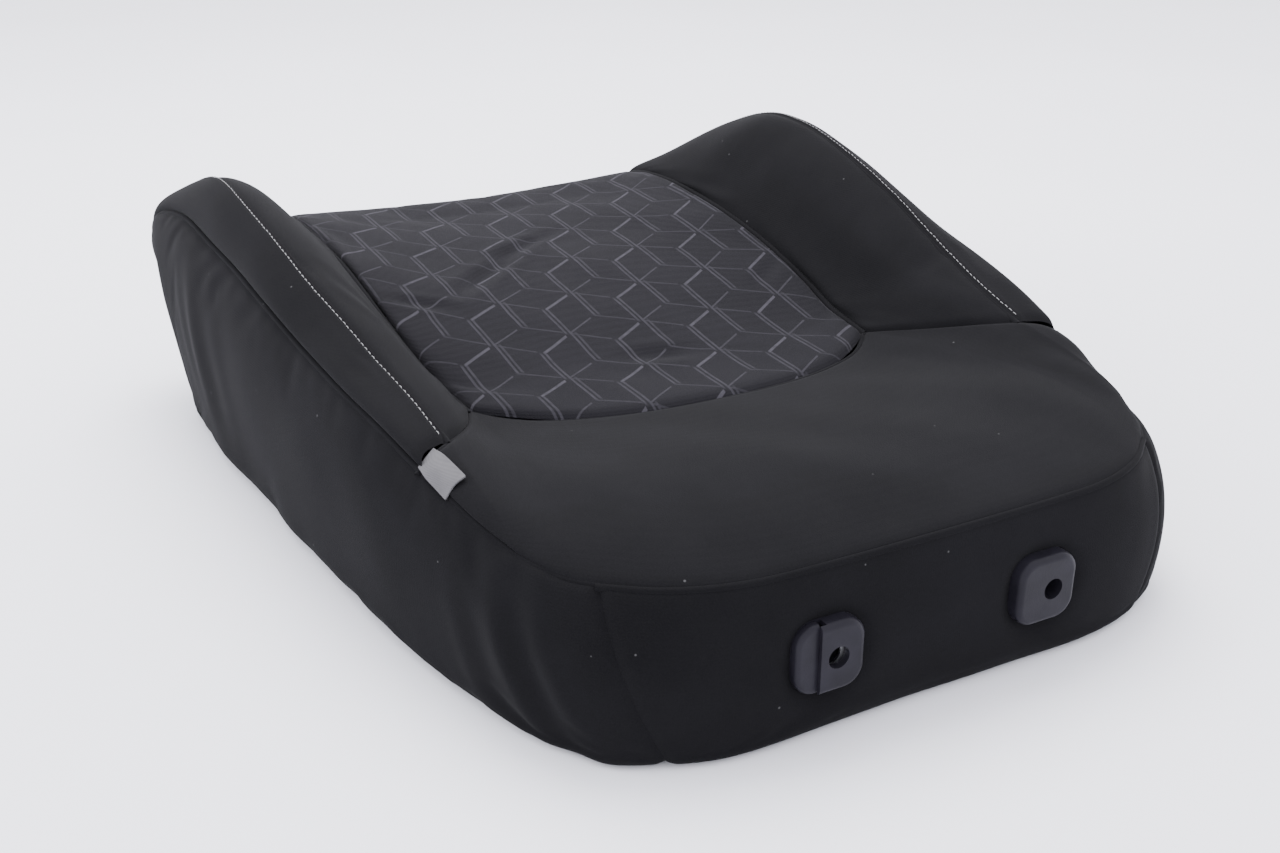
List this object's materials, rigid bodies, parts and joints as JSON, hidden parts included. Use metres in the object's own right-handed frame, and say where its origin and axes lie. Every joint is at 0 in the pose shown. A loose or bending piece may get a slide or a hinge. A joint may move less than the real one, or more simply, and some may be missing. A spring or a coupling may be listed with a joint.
{
  "type": "car seat backrest",
  "caption": "Upholstered backrest of a car's front seat with side bolsters, head restraint guide sleeves with a release button, steel frame and recliner brackets.",
  "frame": {"origin": "centre of the box's base: the middle of the width and length, on the rear panel's flat face", "axes": "+Z towards the occupant's back, -Y towards the head restraint end, +X towards the occupant's right"},
  "size_m": [0.5414, 0.688, 0.2005],
  "materials": {
    "insert_cloth": "black knitted cloth with a light line pattern of rhombs",
    "black_cloth": "black knitted cloth with a fine rib",
    "facing_cloth": "plain black cloth",
    "flap_cloth": "black non-woven felt",
    "label_cloth": "light grey woven label",
    "foam": "moulded polyurethane foam",
    "panel_plastic": "grained black plastic",
    "sleeve_plastic": "fine-grained dark grey plastic",
    "clip_plastic": "natural nylon",
    "frame_paint": "black electrocoat, satin",
    "bright_steel": "zinc-plated steel",
    "wire_steel": "spring steel wire",
    "bag_cloth": "folded nylon airbag cloth"
  },
  "bodies": {
    "backrest": {"insert_panel": "insert_cloth", "bolster_inner_right": "black_cloth", "bolster_inner_left": "black_cloth", "bolster_outer_right": "black_cloth", "bolster_outer_left": "black_cloth", "head_panel": "black_cloth", "end_facing": "facing_cloth", "tail_flap": "flap_cloth", "side_facing_right": "facing_cloth", "side_facing_left": "facing_cloth", "airbag_tag": "label_cloth", "foam_pad": "foam", "listing_wires": "wire_steel", "hog_rings": "bright_steel", "rear_panel": "panel_plastic", "rear_panel_clips": "clip_plastic", "tail_clip_strip": "clip_plastic", "side_member_right": "frame_paint", "side_member_left": "frame_paint", "upper_tube_frame": "frame_paint", "headrest_holder_right": "frame_paint", "headrest_holder_left": "frame_paint", "lower_cross_member": "frame_paint", "suspension_mat": "wire_steel", "mat_hooks": "wire_steel", "guide_sleeve_right": "sleeve_plastic", "guide_sleeve_left": "sleeve_plastic", "lock_spring": "wire_steel", "recliner_base_right": "bright_steel", "recliner_base_left": "bright_steel", "recliner_ring_right": "bright_steel", "recliner_ring_left": "bright_steel", "airbag_housing": "frame_paint", "airbag_inflator": "bright_steel", "airbag_cushion": "bag_cloth", "airbag_nuts": "bright_steel"},
    "lock": {"lock_button": "sleeve_plastic", "lock_catch": "bright_steel"},
    "release": {"release_shaft": "bright_steel", "release_arm": "bright_steel"},
    "bracket_right": {"recliner_gear_right": "bright_steel", "recliner_bracket_right": "frame_paint"},
    "bracket_left": {"recliner_gear_left": "bright_steel", "recliner_bracket_left": "frame_paint"}
  },
  "joints": [
    {"name": "lock_press", "type": "slide", "parent": "backrest", "child": "lock", "axis": [1, 0, 0], "range_m": [0, 0.003], "stiffness_N_per_m": 900, "springref_m": -0.003, "deforming": ["lock_spring"]},
    {"name": "release_turn", "type": "hinge", "parent": "backrest", "child": "release", "pos_m": [0, 0.228, 0.056], "axis": [-1, 0, 0], "range_deg": [0, 25], "stiffness_Nm_per_rad": 2, "springref_deg": -17.19},
    {"name": "recline_left", "type": "hinge", "parent": "backrest", "child": "bracket_left", "pos_m": [-0.2313, 0.228, 0.056], "axis": [1, 0, 0], "range_deg": [-18, 52]},
    {"name": "recline_right", "type": "hinge", "parent": "backrest", "child": "bracket_right", "pos_m": [0.2313, 0.228, 0.056], "axis": [1, 0, 0], "range_deg": [-18, 52]}
  ],
  "couplings": [
    {"joint": "recline_right", "follows": "recline_left", "ratio": 1}
  ]
}
